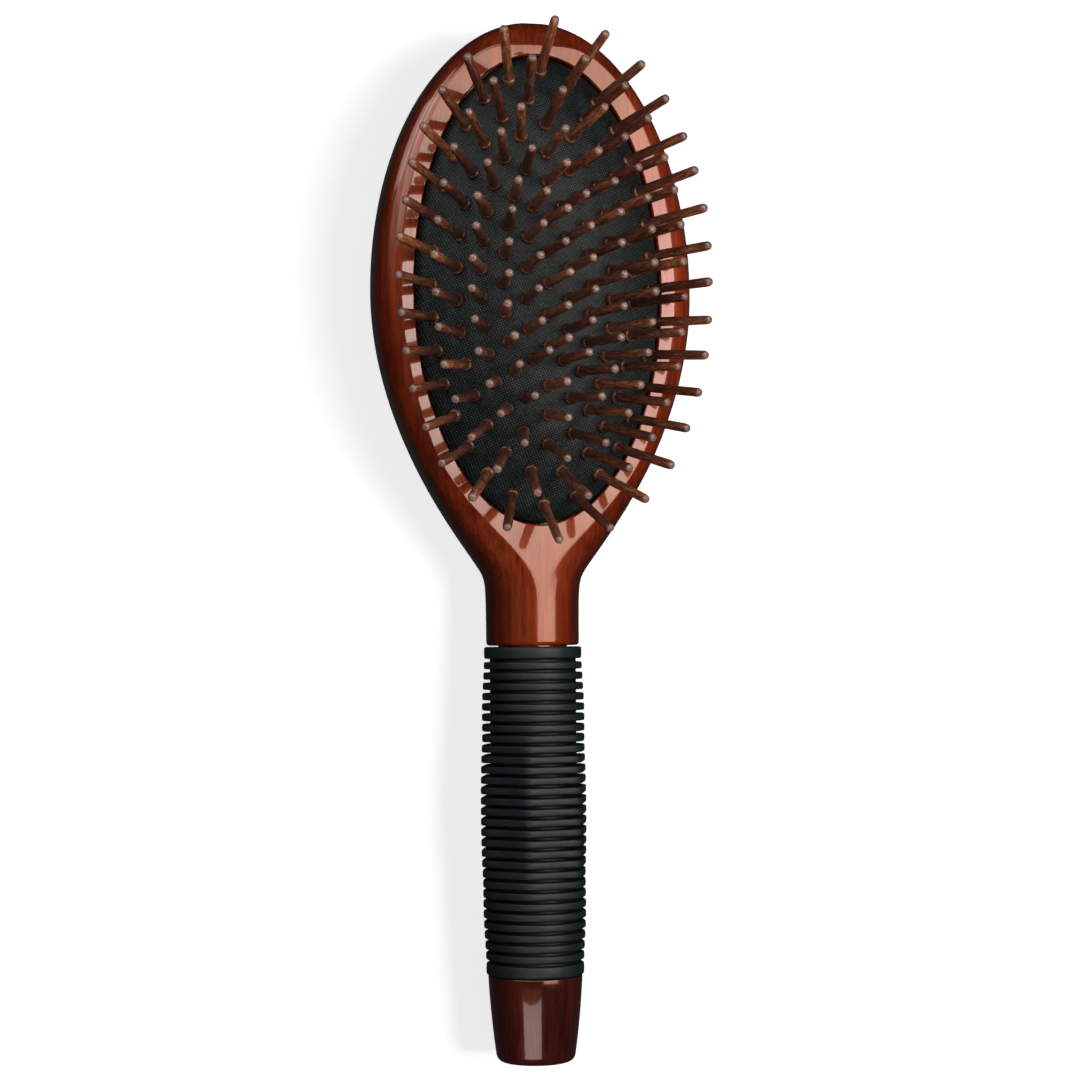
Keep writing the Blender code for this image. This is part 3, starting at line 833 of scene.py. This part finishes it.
# Lights
def softbox(name, across, along, distance, width, height, radiance, seen_in, glow=None,
            target=(0, 0.03, 0.02)):
    """A soft light facing a target, at angles in degrees from straight up.

    Across is towards +X and along towards +Y. It is seen in the "gloss" or only in the "matt"
    part of surfaces, as studio lights and reflector cards are set for one or the other. Its glow
    is a list of (place from its lower to its upper edge, colour times brightness).
    """
    light = bpy.data.lights.new(name, "AREA")
    light.shape = "RECTANGLE"
    light.size, light.size_y = width, height
    light.energy = radiance * math.pi * width * height
    lamp = bpy.data.objects.new(name, light)
    slopes = math.tan(math.radians(across)), math.tan(math.radians(along))
    direction = Vector((*slopes, 1)).normalized()
    side = Vector((0, 1, 0)).cross(direction).normalized()
    axes = Matrix((side, direction.cross(side), direction)).transposed()
    lamp.matrix_world = (Matrix.Translation(Vector(target) + direction * distance)
                         @ axes.to_4x4())
    bpy.context.scene.collection.objects.link(lamp)
    if glow:
        light.use_nodes = True
        tree = light.node_tree
        place = add(tree, "ShaderNodeNewGeometry").outputs["Parametric"]
        tree.links.new(ramp(tree, split(tree, place)["Y"], glow),
                       tree.nodes["Emission"].inputs["Color"])
    lamp.visible_diffuse = seen_in == "matt"
    lamp.visible_glossy = seen_in == "gloss"
    lamp.visible_camera = False


softbox("main_softbox", across=25.5, along=6.5, distance=0.95, width=0.64, height=0.54,
        radiance=9.0, seen_in="gloss",
        glow=[(0.0, (0.38, 0.30, 0.26)), (0.29, (0.72, 0.60, 0.51)), (0.50, (0.98, 0.96, 0.94)),
              (0.63, (1.0, 1.0, 1.0)), (0.72, (0.82, 0.76, 0.68)), (0.85, (0.66, 0.57, 0.48)),
              (1.0, (0.47, 0.33, 0.25))])
softbox("left_card", across=-44, along=35, distance=1.3, width=0.50, height=0.95,
        radiance=3.3, seen_in="gloss",
        glow=[(0.0, (0, 0, 0)), (0.15, (0.10, 0.08, 0.07)), (0.38, (0.60, 0.50, 0.45)),
              (0.55, (0.95, 0.88, 0.84)), (1.0, (0.95, 0.92, 0.90))])
softbox("far_left_card", across=-62, along=55, distance=1.3, width=0.42, height=0.44,
        radiance=3.0, seen_in="gloss")
softbox("top_card", across=-14, along=27, distance=1.3, width=0.95, height=0.62,
        radiance=4.0, seen_in="gloss",
        glow=[(0.0, (0.3, 0.24, 0.20)), (0.15, (0.8, 0.72, 0.67)), (0.60, (0.95, 0.88, 0.84)),
              (1.0, (0.9, 0.9, 0.9))])
softbox("low_card", across=-22, along=-24.5, distance=0.187, width=0.155, height=0.048,
        radiance=3.4, seen_in="gloss", target=(0, -0.11, 0.02))
softbox("key_light", across=34, along=-5, distance=0.95, width=0.50, height=0.45,
        radiance=7.6, seen_in="matt")
softbox("fill_light", across=-30, along=2, distance=0.90, width=0.40, height=0.40,
        radiance=4.6, seen_in="matt", target=(0, 0.04, 0.02))

# Floor and backdrop, in metres. The floor lies a little below the brush.
floor_half, floor_drop, backdrop_radius = 3, 0.0003, 2.9


def pale(name, reflectance, glow):
    material, _, shader = new_shader(name, Roughness=0.9, Specular_IOR_Level=0.1)
    shader.inputs["Base Color"].default_value = (reflectance, reflectance, reflectance, 1)
    shader.inputs["Emission Color"].default_value = (1, 1, 1, 1)
    shader.inputs["Emission Strength"].default_value = glow
    return material


def stage(name, mesh, material):
    """A floor or backdrop that the camera sees, and that adds no light to the brush."""
    surface = bpy.data.objects.new(name, mesh)
    bpy.context.scene.collection.objects.link(surface)
    mesh.materials.append(material)
    surface.visible_glossy = False
    surface.visible_diffuse = False
    return surface


floor_mesh = bpy.data.meshes.new("floor")
floor_corners = [(x * floor_half, y * floor_half, 0)
                 for x, y in ((-1, -1), (1, -1), (1, 1), (-1, 1))]
floor_mesh.from_pydata(floor_corners, [], [(0, 1, 2, 3)])
floor = stage("floor", floor_mesh, pale("floor", reflectance=0.9, glow=0.6))
floor.location.z = -floor_drop

work = bmesh.new()
bmesh.ops.create_uvsphere(work, u_segments=48, v_segments=24, radius=backdrop_radius)
dome_mesh = bpy.data.meshes.new("backdrop")
work.to_mesh(dome_mesh)
work.free()
backdrop = stage("backdrop", dome_mesh, pale("backdrop", reflectance=0.0, glow=0.63))
backdrop.visible_shadow = False

world = bpy.data.worlds.new("world")
bpy.context.scene.world = world
world.use_nodes = True
world.node_tree.nodes["Background"].inputs["Color"].default_value = (1, 1, 1, 1)
world.node_tree.nodes["Background"].inputs["Strength"].default_value = 0.03
bpy.context.scene.view_settings.view_transform = "Standard"
